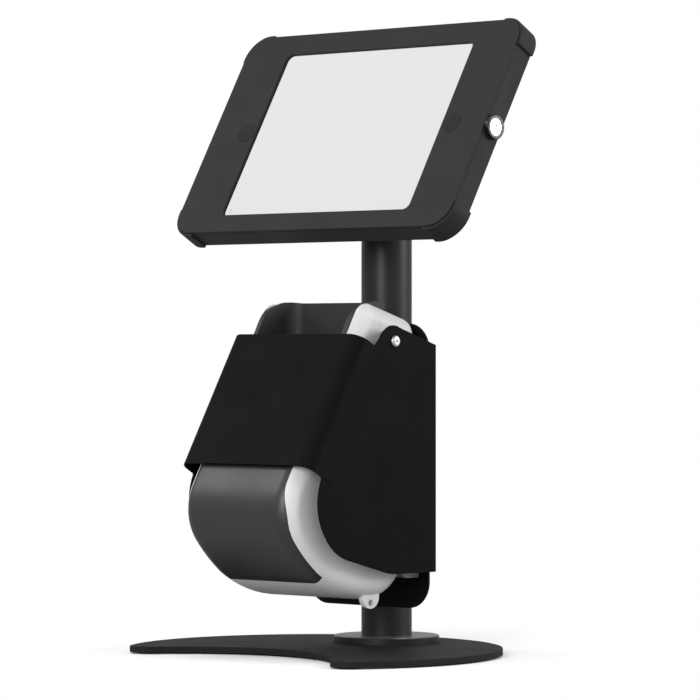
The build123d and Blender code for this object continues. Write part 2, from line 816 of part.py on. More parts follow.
def bracket_arm(side):
    """One arm from the plate's edge forward to the pin."""
    outline = make_hull(
        (Pos(*pin_place) * Circle(arm_end_radius)).edges()
        + Polyline((-bracket_rear, arm_root_low), (-bracket_rear, arm_root_high),
                   (-bracket_front, arm_root_high), (-bracket_front, arm_root_low), close=True).edges())
    outline -= Pos(*pin_place) * Circle(pin_radius + screw_gap)
    start = bracket_half_width - bracket_thickness
    arm = across_x(outline, start, bracket_half_width)
    return arm if side > 0 else mirror(arm, about=Plane.YZ)


def clamp_places():
    """X and Z of the strap screws."""
    return [(x, z) for z in strap_heights for x in (-strap_half, strap_half)]


def make_clamp_strap(height):
    """Saddle strap round the back of the pole, an ear on each side."""
    outer = pole_radius + strap_thickness
    ear = outer + strap_ear_width
    outline = Circle(outer) + Pos(0, -bracket_rear / 2) * Rectangle(2 * outer, bracket_rear)
    outline += Pos(0, -bracket_rear + strap_thickness / 2) * Rectangle(2 * ear, strap_thickness)
    outline -= Circle(pole_radius + running_gap)
    outline -= Pos(0, -bracket_rear / 2) * Rectangle(2 * pole_radius + 2 * running_gap, bracket_rear)
    outline -= Pos(0, -bracket_rear - outer) * Rectangle(3 * outer, 2 * outer)
    strap = Pos(0, 0, height - strap_height / 2) * extrude(outline, amount=strap_height)
    for x in (-strap_half, strap_half):
        strap -= rod_y(clamp_screw_radius + screw_gap, -bracket_rear - overrun,
                       -bracket_rear + strap_thickness + overrun, x, height)
    return strap


def make_clamp_screws():
    """Four countersunk screws from the plate's front."""
    head = clamp_screw_radius * clamp_screw_head_share
    sink = clamp_screw_radius * clamp_screw_sink_share
    length = bracket_thickness + strap_thickness + clamp_nut_height + clamp_screw_tail
    screw = countersunk(clamp_screw_radius, head, sink, length)
    return together(Pos(x, -bracket_front, z) * Rot(90, 0, 0) * screw for x, z in clamp_places())


def make_clamp_nuts():
    """Nuts behind the straps' ears."""
    nut = hex_bar(clamp_nut_across, clamp_nut_height)
    nut -= Cylinder(clamp_screw_radius + running_gap, 2 * clamp_nut_height + overrun)
    rear = -bracket_rear + strap_thickness
    return together(Pos(x, rear, z) * Rot(-90, 0, 0) * nut for x, z in clamp_places())


# Shroud

def side_point(share):
    """A point of the side plate from its shares of depth and height."""
    return -shroud_rear - share[0] * shroud_depth, shroud_low + share[1] * shroud_side_height


def slope_point(out, along):
    """Y and Z of a point given square to the leaning plate and along its slope."""
    return -out * cos(tilt) + along * sin(tilt), out * sin(tilt) + along * cos(tilt)


def shroud_side_outline():
    """Outline that trims the bent sheet: side plates, lugs and the front plate's edges."""
    out = shroud_front + overrun
    rear_top = (-shroud_rear, shroud_low + side_rear_top_share * shroud_side_height)
    low_rear = (-shroud_rear, shroud_low)
    heel = side_point(side_heel_share)
    chin = side_point(side_chin_share)
    cheek = side_point(side_cheek_share)
    lines = [
        Line(rear_top, low_rear),
        Line(low_rear, heel),
        TangentArc(heel, side_point(side_heel_end_share), tangent=(-1, 0)),
        Line(side_point(side_heel_end_share), chin),
    ]
    lines.append(TangentArc(chin, cheek, tangent=lines[-1] % 1))
    lines.append(ThreePointArc(cheek, side_point(side_nose_share), side_point(side_slit_share)))
    lines.append(Line(side_point(side_slit_share), slope_point(shroud_fold, shroud_bottom)))
    lines.append(Line(slope_point(shroud_fold, shroud_bottom), slope_point(out, shroud_bottom)))
    lines.append(Line(slope_point(out, shroud_bottom), slope_point(out, shroud_top)))
    lines.append(Line(slope_point(out, shroud_top), slope_point(shroud_fold, shroud_top)))
    lines.append(Line(slope_point(shroud_fold, shroud_top), side_point(lug_rise_share)))
    lines.append(Line(side_point(lug_rise_share), side_point(lug_front_share)))
    lines.append(ThreePointArc(side_point(lug_front_share), side_point(lug_top_share),
                               side_point(lug_back_share)))
    lines.append(Line(side_point(lug_back_share), rear_top))
    return make_face(Curve() + lines)


def bent_section():
    """The sheet's U section, front plate at minus y and the sides running back."""
    depth = 2 * shroud_front
    outer = Pos(0, -shroud_front + depth / 2) * Rectangle(2 * shroud_half_width, depth)
    outer = fillet(outer.vertices().group_by(Axis.Y)[0], shroud_bend_radius)
    inner = Pos(0, -shroud_front + shroud_sheet + depth / 2) * Rectangle(2 * shroud_inner_half, depth)
    inner = fillet(inner.vertices().group_by(Axis.Y)[0], shroud_bend_radius - shroud_sheet)
    return outer - inner


def make_printer_shroud():
    """One bent steel sheet over the printer's front and sides."""
    length = 2 * shroud_front
    sheet = slope_plane.location * Pos(0, 0, -length / 2) * extrude(bent_section(), amount=length)
    trim = across_x(shroud_side_outline(), -shroud_half_width - overrun, shroud_half_width + overrun)
    shroud = sheet & trim
    slit = block(-shroud_half_width - overrun, shroud_half_width + overrun, -shroud_fold - overrun,
                 -shroud_fold + slit_length, shroud_bottom - slit_width, shroud_bottom)
    shroud -= slope_plane.location * slit
    reach = shroud_half_width + overrun
    return shroud - rod_x(pin_radius + running_gap, -reach, reach, *pin_place)


def make_shroud_bumpers():
    """Two rubber buttons inside the front plate that rest on the printer."""
    inner = shroud_front - shroud_sheet
    tall = inner - printer_slant - bumper_air
    button = Rot(-90, 0, 0) * Cylinder(bumper_radius, tall, align=(Align.CENTER, Align.CENTER, Align.MIN))
    return together(slope_plane.location * Pos(x, -inner, bumper_slope_place) * button
                    for x in (-bumper_side, bumper_side))


def make_shroud_pins():
    """Dome-headed pins through the side plates and the bracket's arms."""
    inside = bracket_half_width - bracket_thickness
    pin = rod_x(pin_radius, inside, shroud_half_width + running_gap, *pin_place)
    dome_start = shroud_half_width + running_gap
    dome_end = dome_start + pin_head_height
    head = rod_x(pin_head_radius, dome_start, dome_end, *pin_place)
    head = fillet(head.edges().group_by(Axis.X)[-1], pin_head_height * pin_dome_share)
    head -= rod_x(pin_dimple_radius, dome_start + pin_head_height / 2, dome_end + overrun, *pin_place)
    tail = rod_x(pin_tail_radius, inside - pin_tail_height, inside, *pin_place)
    pin = pin + head + tail
    return together((pin, mirror(pin, about=Plane.YZ)))


def make_shroud_washers():
    """Thin washers between the arms and the side plates."""
    ring = rod_x(arm_end_radius, bracket_half_width, shroud_inner_half - running_gap, *pin_place)
    ring -= rod_x(pin_radius + screw_gap, 0, shroud_half_width, *pin_place)
    return together((ring, mirror(ring, about=Plane.YZ)))


# Printer

def printer_point(share):
    """A point of the printer from its shares of depth and length."""
    return -printer_back - share[0] * printer_depth, printer_low + share[1] * printer_length


def printer_outline():
    """The printer's side outline."""
    p = printer_point
    lines = [
        Line(p(back_top_share), p(heel_top_share)),
        Line(p(heel_top_share), p(heel_front_share)),
        ThreePointArc(p(heel_front_share), p(heel_mid_share), p(sole_share)),
        TangentArc(p(sole_share), p(chin_share), tangent=(-1, 0)),
    ]
    rising = TangentArc(p(nose_share), p(jowl_share), tangent=(0, -1))
    lines.append(TangentArc(p(jowl_share), p(chin_share), tangent=rising % 1))
    lines.append(rising)
    lines.append(TangentArc(p(nose_share), p(brow_share), tangent=(0, 1)))
    lines.append(Line(p(brow_share), p(shoulder_share)))
    lines.append(ThreePointArc(p(shoulder_share), p(shoulder_mid_share), p(crown_share)))
    lines.append(Line(p(crown_share), p(nape_share)))
    lines.append(ThreePointArc(p(nape_share), p(nape_mid_share), p(back_top_share)))
    return make_face(Curve() + lines)


def printer_shell():
    """The whole printer's skin, before it is split into its shells."""
    outline = printer_outline()
    body = across_x(outline, -printer_half_width, printer_half_width)
    body = fillet(body.faces().filter_by(Axis.X).edges(), printer_flank_round)
    inside = printer_half_width - printer_wall
    hollow = across_x(offset(outline, amount=-printer_wall), -inside, inside)
    hollow = fillet(hollow.faces().filter_by(Axis.X).edges(), printer_hollow_round)
    return body - hollow


def region(shares, closing, grow, half):
    """A prism on one side of a seam, its border moved by grow along Y."""
    points = [printer_point(share) for share in shares] + closing
    points = [(y + grow, z) for y, z in points]
    face = make_face(Polyline(*points, close=True))
    return across_x(face, -half, half)


def base_region(grow):
    """Everything behind the seam between the base and the top case."""
    low = printer_low - printer_length
    high = printer_low + 2 * printer_length
    closing = [(printer_depth, low), (printer_depth, high)]
    return region(base_seam_shares, closing, grow, 2 * printer_half_width)


def cover_region(grow):
    """Everything in front of the roll cover's edges, which draw in above the nose."""
    low = printer_low - printer_length
    high = printer_low + 2 * printer_length
    far = -3 * printer_depth
    wide = region(cover_seam_shares, [(far, high), (far, low)], grow, cover_half_width + grow)
    taper_low, taper_high = (printer_low + share * printer_length for share in cover_taper_shares)
    side = cover_half_width + grow
    top_side = cover_top_half_width + grow
    edge = Spline((side, taper_low), (top_side, taper_high), tangents=((0, 1), (0, 1)))
    right = [Line((side, low), (side, taper_low)), edge, Line((top_side, taper_high), (top_side, high))]
    left = [mirror(line, about=Plane.YZ) for line in right]
    ends = [Line((-side, low), (side, low)), Line((-top_side, high), (top_side, high))]
    outline = make_face(Curve() + right + left + ends)
    return wide & extrude(Plane.XZ * outline, amount=-far, both=True)


def make_printer_base(skin):
    """White shell on the bracket's side, with the ear and the screw bosses."""
    base = skin & base_region(0)
    half = exit_half_width + case_seam
    rear = printer_point(exit_rim_share)[0] + exit_wall + case_seam
    floor = printer_low + exit_floor_share * printer_length - exit_wall - case_seam
    base -= block(-half, half, rear - printer_depth, rear, floor, 2 * bracket_top)
    floor = -printer_back - printer_wall
    for z in printer_screw_heights:
        for x in (-printer_screw_side, printer_screw_side):
            base += rod_y(printer_screw_boss_radius, floor - printer_screw_boss_height, floor, x, z)
            base -= rod_y(printer_screw_radius + screw_gap, floor - printer_screw_boss_height / 2,
                          -printer_back + overrun, x, z)
    return base + lashing_ear() - lashing_hole()


def lashing_ear():
    """Small round ear under the right side of the printer."""
    y, z = printer_point(ear_place_share)
    return rod_x(lashing_ear_radius, lashing_ear_side, lashing_ear_side + lashing_ear_thickness, y, z)


def lashing_hole():
    """The hole through the ear."""
    y, z = printer_point(ear_place_share)
    return rod_x(lashing_hole_radius, lashing_ear_side - overrun,
                 lashing_ear_side + lashing_ear_thickness + overrun, y, z - lashing_hole_drop)


def make_printer_top_case(skin):
    """White flanks round the dark cover."""
    case = skin - base_region(-case_seam)
    return case - cover_region(cover_seam)


def make_printer_roll_cover(skin):
    """Dark cover over the label roll, from the chin to the throat."""
    cover = skin & cover_region(0)
    rear = -printer_back - exit_rim_share[0] * printer_depth
    floor = printer_low + exit_floor_share * printer_length - exit_wall - face_gap
    half = cover_half_width + overrun
    cover -= block(-half, half, rear - printer_depth, rear + printer_depth, floor, 2 * bracket_top)
    for side in (-1, 1):
        cover -= slope_plane.location * button_hole(side)
    return cover


def exit_outline():
    """Side outline of the throat's cheeks."""
    p = printer_point
    floor = printer_low + exit_floor_share * printer_length - exit_wall
    rear = p(exit_rim_share)[0] + exit_wall
    front_low = -(printer_slant - floor * sin(tilt)) / cos(tilt)
    start = p(exit_front_shares[0])
    lines = [
        Line((rear, floor), (front_low, floor)),
        Line((front_low, floor), start),
        Spline(*[p(share) for share in exit_front_shares], p(exit_top_share), p(exit_rim_share)),
        Line(p(exit_rim_share), (rear, p(exit_rim_share)[1])),
        Line((rear, p(exit_rim_share)[1]), (rear, floor)),
    ]
    return make_face(Curve() + lines)


def make_label_exit():
    """Dark throat that the labels leave by: two cheeks, a back wall and a slotted floor."""
    half = exit_half_width
    throat = across_x(exit_outline(), -half, half)
    ears = [face.edges().sort_by(SortBy.LENGTH)[-1] for face in throat.faces().filter_by(Axis.X)]
    throat = fillet(ears, exit_ear_round)
    rear = printer_point(exit_rim_share)[0]
    floor = printer_low + exit_floor_share * printer_length
    cheek = half - exit_cheek
    recess = block(-cheek, cheek, rear - printer_depth, rear, floor, 2 * bracket_top)
    corners = recess.edges().filter_by(Axis.Z).group_by(Axis.Y)[-1]
    throat -= fillet(corners, exit_corner_round)
    y = printer_point(platen_place_share)[0]
    half = platen_length / 2
    slot = block(-half, half, y - exit_slot / 2, y + exit_slot / 2,
                 floor - exit_wall - overrun, floor + overrun)
    return throat - slot


def make_tear_bar():
    """Steel tear bar standing at the slot's rear edge."""
    y = printer_point(platen_place_share)[0] + exit_slot / 2
    floor = printer_low + exit_floor_share * printer_length
    half = platen_length / 2
    return block(-half, half, y, y + tear_bar_thickness, floor, floor + tear_bar_height)


def side_frame_outline():
    """Side plate of the printer's inner frame, from the base to both shafts."""
    rear = -printer_back - printer_wall
    low = printer_low + side_frame_shares[0] * printer_length
    high = printer_low + side_frame_shares[1] * printer_length
    roll = Pos(*printer_point(roll_place_share)) * Circle(side_frame_reach)
    platen = Pos(*printer_point(platen_place_share)) * Circle(side_frame_reach)
    root = Line((rear, low), (rear, high))
    outline = make_hull(roll.edges() + platen.edges() + root.edges())
    outline -= Pos(*printer_point(roll_place_share)) * Circle(spool_shaft_radius + running_gap)
    return outline - Pos(*printer_point(platen_place_share)) * Circle(platen_shaft_radius + running_gap)


def make_printer_frame():
    """Two side plates joined by tie bars."""
    inner = side_frame_half_gap
    outer = inner + side_frame_thickness
    outline = side_frame_outline()
    frame = across_x(outline, inner, outer) + across_x(outline, -outer, -inner)
    for share in tie_bar_shares:
        frame += rod_x(tie_bar_radius, -outer, outer, *printer_point(share))
    return frame


def make_label_roll():
    """Roll of labels on the spool's core."""
    y, z = printer_point(roll_place_share)
    half = roll_width / 2
    roll = rod_x(roll_radius, -half, half, y, z)
    return roll - rod_x(roll_core_radius, -half - overrun, half + overrun, y, z)


def make_roll_spool():
    """Core, two flanges and the shaft that turns in the frame."""
    y, z = printer_point(roll_place_share)
    half = roll_width / 2
    outer = side_frame_half_gap + side_frame_thickness
    spool = rod_x(roll_core_radius, -half, half, y, z)
    spool += rod_x(spool_flange_radius, half, half + spool_flange_thickness, y, z)
    spool += rod_x(spool_flange_radius, -half - spool_flange_thickness, -half, y, z)
    return spool + rod_x(spool_shaft_radius, -outer, outer, y, z)


def make_platen_roller():
    """Rubber roller that drives the labels past the print head."""
    y, z = printer_point(platen_place_share)
    outer = side_frame_half_gap + side_frame_thickness
    half = platen_length / 2
    return rod_x(platen_radius, -half, half, y, z) + rod_x(platen_shaft_radius, -outer, outer, y, z)


def make_print_head():
    """Thermal head block behind the roller, held between the side plates."""
    y, z = printer_point(platen_place_share)
    front = y + platen_radius + soft_gap
    half = side_frame_half_gap
    return block(-half, half, front, front + head_block_depth,
                 z - head_block_height / 2, z + head_block_height / 2)


def make_cutter_unit():
    """Blade carrier under the throat's floor, between the side plates."""
    y = printer_point(platen_place_share)[0]
    top = printer_low + exit_floor_share * printer_length - exit_wall - face_gap
    half = side_frame_half_gap
    rear = y + exit_slot / 2
    return block(-half, half, rear, rear + cutter_depth, top - cutter_height, top)


def make_drive_motor():
    """Motor on the left side plate."""
    y, z = printer_point(motor_place_share)
    return rod_x(motor_radius, -side_frame_half_gap, -side_frame_half_gap + motor_length, y, z)


def make_circuit_board():
    """Board on the base's floor, on four standoffs."""
    rear = -printer_back - printer_wall - board_standoff
    low = printer_low + board_shares[0] * printer_length
    high = printer_low + board_shares[1] * printer_length
    half = board_half_width
    board = block(-half, half, rear - board_thickness, rear, low, high)
    for x in (-half + board_standoff, half - board_standoff):
        for z in (low + board_standoff, high - board_standoff):
            board += rod_y(board_standoff / 2, rear, rear + board_standoff, x, z)
    return board


def make_printer_feet():
    """Four rubber feet between the printer's underside and the bracket."""
    places = [(x, printer_low + share * printer_length) for share in (foot_low_share, foot_high_share)
              for x in (-printer_half_width + foot_inset, printer_half_width - foot_inset)]
    return together(rod_y(foot_radius, -printer_back, -bracket_front, x, z) for x, z in places)


def make_printer_screws():
    """Four screws from behind the bracket into the printer's base."""
    tip = -printer_back - printer_wall - printer_screw_boss_height / 3
    screws = []
    for z in printer_screw_heights:
        for x in (-printer_screw_side, printer_screw_side):
            head = rod_y(printer_screw_head_radius, -bracket_rear,
                         -bracket_rear + printer_screw_head_height, x, z)
            head = fillet(head.edges().group_by(Axis.Y)[-1], printer_screw_head_height * hex_socket_share)
            screws.append(head + rod_y(printer_screw_radius, tip, -bracket_rear, x, z))
    return together(screws)


def make_rear_foot():
    """Grey rounded foot at the printer's lower rear, on the bracket."""
    y, z = printer_point(rear_foot_share)
    face = Pos(y, z) * Circle(rear_foot_radius)
    face += Pos((y - bracket_front) / 2, z) * Rectangle(-bracket_front - y, 2 * rear_foot_radius)
    face -= Pos(0, z) * Rectangle(2 * bracket_front, 3 * rear_foot_radius)
    foot = across_x(face, *rear_foot_sides)
    return foot - grown_printer()


def grown_printer():
    """The printer's outline as a solid, to trim what lies against it."""
    return across_x(printer_outline(), -printer_half_width, printer_half_width)


def button_hole(side):
    """Clearance for one button in the frame of the leaning face."""
    return button_rod(side, button_radius + running_gap, -overrun - printer_wall, overrun)


def button_rod(side, radius, low, high):
    """A bar square to the printer's leaning face, measured outward from it."""
    rod = Rot(90, 0, 0) * Cylinder(radius, high - low, align=(Align.CENTER, Align.CENTER, Align.MIN))
    return Pos(side * button_side, -printer_slant - low, button_slope_place) * rod


def make_button(side):
    """Push button in the leaning face, with a collar inside the cover."""
    inner = -printer_wall - button_travel - face_gap
    button = button_rod(side, button_radius, inner, button_proud)
    collar = button_rod(side, button_radius + button_collar, inner - button_stem / 2, inner)
    return slope_plane.location * (button + collar)


# Export

os.makedirs("parts", exist_ok=True)
skin = printer_shell()
disc_left, disc_right = cover_disc_places()
nodes = {
    "base_plate": make_base_plate(),
    "base_pads": make_base_pads(),
    "pole_flange": make_pole_flange(),
    "flange_screws": make_flange_screws(),
    "pole_tube": make_pole_tube(),
    "head_socket": make_head_socket(),
    "head_screws": make_head_screws(),
    "tilt_bolt": make_tilt_bolt(),
    "tilt_nut": make_tilt_nut(),
    "tilt_washers": make_tilt_washers(),
    "tilt_bracket": make_tilt_bracket(),
    "mount_screws": make_mount_screws(),
    "enclosure_shell": make_enclosure_shell(),
    "front_frame": make_front_frame(),
    "frame_hooks": make_frame_hooks(),
    "frame_keeper": make_frame_keeper(),
    "home_button_cover": make_cover_disc(disc_left),
    "camera_cover": make_cover_disc(disc_right),
    "corner_protector_top_left": make_corner_protector(-1, 1),
    "corner_protector_top_right": make_corner_protector(1, 1),
    "corner_protector_bottom_left": make_corner_protector(-1, -1),
    "corner_protector_bottom_right": make_corner_protector(1, -1),
    "tablet_body": make_tablet_body(),
    "tablet_glass": on_window(glass_blank(0)),
    "tablet_display": on_window(display_blank()),
    "cradle_corners": make_cradle_corners(),
    "lock_barrel": make_lock_barrel(),
    "lock_nut": make_lock_nut(),
    "lock_plug": make_lock_plug(),
    "lock_cam": make_lock_cam(),
    "cam_screw": make_cam_screw(),
    "printer_bracket": make_printer_bracket(),
    "clamp_strap_lower": make_clamp_strap(strap_heights[0]),
    "clamp_strap_upper": make_clamp_strap(strap_heights[1]),
    "clamp_screws": make_clamp_screws(),
    "clamp_nuts": make_clamp_nuts(),
    "printer_shroud": make_printer_shroud(),
    "shroud_bumpers": make_shroud_bumpers(),
    "shroud_pins": make_shroud_pins(),
    "shroud_washers": make_shroud_washers(),
    "printer_base": make_printer_base(skin),
    "printer_top_case": make_printer_top_case(skin),
    "printer_roll_cover": make_printer_roll_cover(skin),
    "label_exit": make_label_exit(),
    "tear_bar": make_tear_bar(),
    "printer_frame": make_printer_frame(),
    "label_roll": make_label_roll(),
    "roll_spool": make_roll_spool(),
    "platen_roller": make_platen_roller(),
    "print_head": make_print_head(),
    "cutter_unit": make_cutter_unit(),
    "drive_motor": make_drive_motor(),
    "circuit_board": make_circuit_board(),
    "printer_feet": make_printer_feet(),
    "printer_screws": make_printer_screws(),
    "printer_rear_foot": make_rear_foot(),
    "power_button": make_button(-1),
    "feed_button": make_button(1),
}
for name, shape in nodes.items():
    export_step(shape, "parts/" + name + ".step")
    print(name, len(shape.solids()), "solids")
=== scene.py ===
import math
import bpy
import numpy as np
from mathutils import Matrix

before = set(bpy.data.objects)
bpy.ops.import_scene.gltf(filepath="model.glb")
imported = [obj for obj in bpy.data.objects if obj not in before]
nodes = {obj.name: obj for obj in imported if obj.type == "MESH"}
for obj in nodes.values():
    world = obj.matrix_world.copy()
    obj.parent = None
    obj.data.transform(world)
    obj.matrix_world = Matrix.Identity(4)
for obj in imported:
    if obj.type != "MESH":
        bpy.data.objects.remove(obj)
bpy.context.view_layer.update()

# %% [markdown]
# # Dressing a tablet kiosk stand
# The CAD model is already in the scene: every node is an object that sits at the origin, in metres,
# with +X to the viewer's right, -Y towards the viewer and +Z up. The stand's whole shape is in those
# nodes, down to its screws. This lesson adds what a solid modeller leaves out: a camera, a tent of
# light, a table to stand on and a finish for each surface.

MM = 0.001
MICRON = 0.000001
bpy.context.scene.view_settings.view_transform = "Standard"

# %% [markdown]
# ## The camera
# A long lens was used from far away, level with the middle of the stand, so upright lines stay
# upright and the far corner of the enclosure is hardly smaller than the near one. A camera can be
# placed by eye, but here its place, turn and lens were worked out from points of the object that can
# be named in both views, such as the window's corners, which leaves nothing to drift later.

# %% Camera
CAMERA_PLACE = (2212.0 * MM, -2356.3 * MM, 242.8 * MM)
CAMERA_LEVEL = 90.0       # degrees up from looking straight down
CAMERA_TURN = 43.717      # degrees round the pole from the front
LENS = 204.93             # millimetres, as a lens is named
FARTHEST = 50.0           # metres that the camera can see
camera_data = bpy.data.cameras.new("camera")
camera_data.lens = LENS
camera_data.clip_end = FARTHEST
camera = bpy.data.objects.new("camera", camera_data)
camera.location = CAMERA_PLACE
camera.rotation_euler = (math.radians(CAMERA_LEVEL), 0, math.radians(CAMERA_TURN))
bpy.context.scene.collection.objects.link(camera)
bpy.context.scene.camera = camera
print("camera", [round(c, 3) for c in camera.location], "lens", LENS)

# %% [markdown]
# ## The tent
# The object stands in a white tent: light comes from everywhere. A world of even strength does
# that. The camera has to see pure white there, and so does what looks through the glass, yet a
# world that bright would wash the black coats out. Light Path tells the two uses apart, so the
# backdrop is white while the light that falls on the stand stays at a plain level.

# %% World
WHITE = (1, 1, 1, 1)
WORLD_SEEN = 1.0
WORLD_LIGHT = 0.52


def backdrop(tree, strength):
    """A white background shader of that strength."""
    shader = tree.nodes.new("ShaderNodeBackground")
    shader.inputs["Color"].default_value = WHITE
    shader.inputs["Strength"].default_value = strength
    return shader.outputs[0]


def make_tent():
    """White to the camera and through glass; dimmer as a source of light and in reflections."""
    world = bpy.data.worlds.new("tent")
    bpy.context.scene.world = world
    world.use_nodes = True
    tree = world.node_tree
    tree.nodes.clear()
    ray = tree.nodes.new("ShaderNodeLightPath")
    looked_at = tree.nodes.new("ShaderNodeMath")
    looked_at.operation = "MAXIMUM"
    tree.links.new(ray.outputs["Is Camera Ray"], looked_at.inputs[0])
    tree.links.new(ray.outputs["Is Transmission Ray"], looked_at.inputs[1])
    mix = tree.nodes.new("ShaderNodeMixShader")
    out = tree.nodes.new("ShaderNodeOutputWorld")
    tree.links.new(looked_at.outputs[0], mix.inputs["Fac"])
    tree.links.new(backdrop(tree, WORLD_LIGHT), mix.inputs[1])
    tree.links.new(backdrop(tree, WORLD_SEEN), mix.inputs[2])
    tree.links.new(mix.outputs[0], out.inputs["Surface"])


make_tent()
print("tent", WORLD_SEEN, "to the eye,", WORLD_LIGHT, "as light")

# %% [markdown]
# ## The lamps
# An even tent alone leaves a black object without form. Four large area lamps shape it: one above
# for the tops, one in front for the screen side, a weak one on the left, and one behind on the right
# that draws the pale edge along the pole and lifts the shroud's side. Area lamps were chosen over
# points or a sun because their size keeps every shadow soft.

# %% Lamps
# Each row is a name, a place and an aim in metres, the lamp's side in metres and its power in watts.
LAMPS = (
    ("lamp_above", (0.1, -0.1, 2.0), (0, 0, 0.3), 1.4, 15),
    ("lamp_front", (0.6, -1.9, 0.8), (0, 0, 0.25), 0.9, 22),
    ("lamp_left", (-1.6, -1.1, 1.4), (0, 0, 0.3), 1.0, 10),
    ("lamp_right", (1.6, 1.3, 0.9), (0, 0, 0.3), 1.0, 24),
)


def make_lamp(name, place, target, side, power):
    """A square area lamp; its turn and tip are the angles of the line from its place to the target."""
    data = bpy.data.lights.new(name, "AREA")
    data.size = side
    data.energy = power
    lamp = bpy.data.objects.new(name, data)
    lamp.location = place
    aim = np.array(target) - np.array(place)
    turn = math.atan2(-aim[0], aim[1])
    tip = math.atan2(math.hypot(aim[0], aim[1]), -aim[2])
    lamp.rotation_euler = (tip, 0, turn)
    bpy.context.scene.collection.objects.link(lamp)


for row in LAMPS:
    make_lamp(*row)
print("lamps", [row[0] for row in LAMPS])

# %% [markdown]
# ## The table it stands on
# The stand rests on a pale sheet that catches a soft shadow near the base and turns to plain white
# further out, so that no horizon shows. A single large quad would do, but rings that grow with the
# square of their number put the small faces near the base, where the shadow is looked at.

# %% Floor
FLOOR_RADIUS = 14.0
FLOOR_FIRST_SHARE = 0.02
FLOOR_RINGS = 24
FLOOR_STEPS = 64


def ring_quads(rings, steps):
    """Corner numbers of the quads between closed rings of points, counterclockwise from above."""
    ring, step = np.meshgrid(np.arange(rings - 1), np.arange(steps), indexing="ij")
    near = ring * steps + step
    beside = ring * steps + (step + 1) % steps
    return np.stack([near + steps, beside + steps, beside, near], axis=-1).reshape(-1, 4)


def make_floor():
    """Rings of points at height 0, the radius being the full radius times the square of a share."""
    radius = (np.linspace(FLOOR_FIRST_SHARE, 1, FLOOR_RINGS) ** 2)[:, None] * FLOOR_RADIUS
    turn = np.linspace(0, 2 * math.pi, FLOOR_STEPS, endpoint=False)[None, :]
    points = np.stack([radius * np.cos(turn), radius * np.sin(turn), 0 * radius * turn], axis=-1)
    middle = list(range(FLOOR_STEPS))
    faces = [middle] + ring_quads(FLOOR_RINGS, FLOOR_STEPS).tolist()
    mesh = bpy.data.meshes.new("floor")
    mesh.from_pydata(points.reshape(-1, 3).tolist(), [], faces)
    mesh.update()
    sheet = bpy.data.objects.new("floor", mesh)
    bpy.context.scene.collection.objects.link(sheet)
    return sheet


floor = make_floor()
print("floor", len(floor.data.polygons), "faces")

# %% [markdown]
# ## A small kit for shaders
# Every finish below is a Principled shader whose colour, roughness and bump vary a little with
# noise. The noise reads Object coordinates: all pieces sit at the origin, so these are plain metres,
# and a scale of about a thousand gives a grain of about a millimetre. Painted images could do the
# same, but noise has no seams and holds at any distance.

# %% Kit
NOISE_LOW = 0.3           # most of what the noise node gives lies between these two
NOISE_HIGH = 0.7


def new_material(name):
    """A node material that holds only its Principled shader and output."""
    material = bpy.data.materials.new(name)
    material.use_nodes = True
    tree = material.node_tree
    tree.nodes.clear()
    shader = tree.nodes.new("ShaderNodeBsdfPrincipled")
    out = tree.nodes.new("ShaderNodeOutputMaterial")
    tree.links.new(shader.outputs[0], out.inputs["Surface"])
    return material, tree, shader


def noise(tree, scale, detail=2.0):
    """Noise on Object coordinates, with about as many grains to the metre as the scale says."""
    place = tree.nodes.new("ShaderNodeTexCoord")
    grain = tree.nodes.new("ShaderNodeTexNoise")
    grain.inputs["Scale"].default_value = scale
    grain.inputs["Detail"].default_value = detail
    tree.links.new(place.outputs["Object"], grain.inputs["Vector"])
    return grain.outputs["Fac"]


def spread(tree, value, low, high):
    """The noise's usual range carried to low and high."""
    ranged = tree.nodes.new("ShaderNodeMapRange")
    ranged.inputs["From Min"].default_value = NOISE_LOW
    ranged.inputs["From Max"].default_value = NOISE_HIGH
    ranged.inputs["To Min"].default_value = low
    ranged.inputs["To Max"].default_value = high
    tree.links.new(value, ranged.inputs["Value"])
    return ranged.outputs["Result"]


def tint(tree, value, dark, pale):
    """A colour from dark to pale over the noise's usual range."""
    ramp = tree.nodes.new("ShaderNodeValToRGB")
    first, last = ramp.color_ramp.elements
    first.position = NOISE_LOW
    last.position = NOISE_HIGH
    first.color = (*dark, 1)
    last.color = (*pale, 1)
    tree.links.new(value, ramp.inputs["Fac"])
    return ramp.outputs["Color"]


print("noise is read from", NOISE_LOW, "to", NOISE_HIGH)

# %% [markdown]
# ## The common finish
# Powder coat, moulded plastic, rubber and ground metal look different, but they are described by
# the same few things: a colour that drifts a little, a roughness that drifts more slowly, and a
# fine grain that can be felt. One function with those as its settings serves them all, and the
# settings then read like a paint shop's card.

# %% Coated surfaces
SPECK_SCALE_SHARE = 0.6   # the colour's specks are coarser than the grain
SPECK_DETAIL = 3.0
DRIFT_SCALE = 30.0        # roughness changes over a few centimetres
GRAIN_STRENGTH = 0.6


def bump(tree, shader, height, depth):
    """Relief of that depth in metres on the shader's normal."""
    relief = tree.nodes.new("ShaderNodeBump")
    relief.inputs["Strength"].default_value = GRAIN_STRENGTH
    relief.inputs["Distance"].default_value = depth
    tree.links.new(height, relief.inputs["Height"])
    tree.links.new(relief.outputs["Normal"], shader.inputs["Normal"])


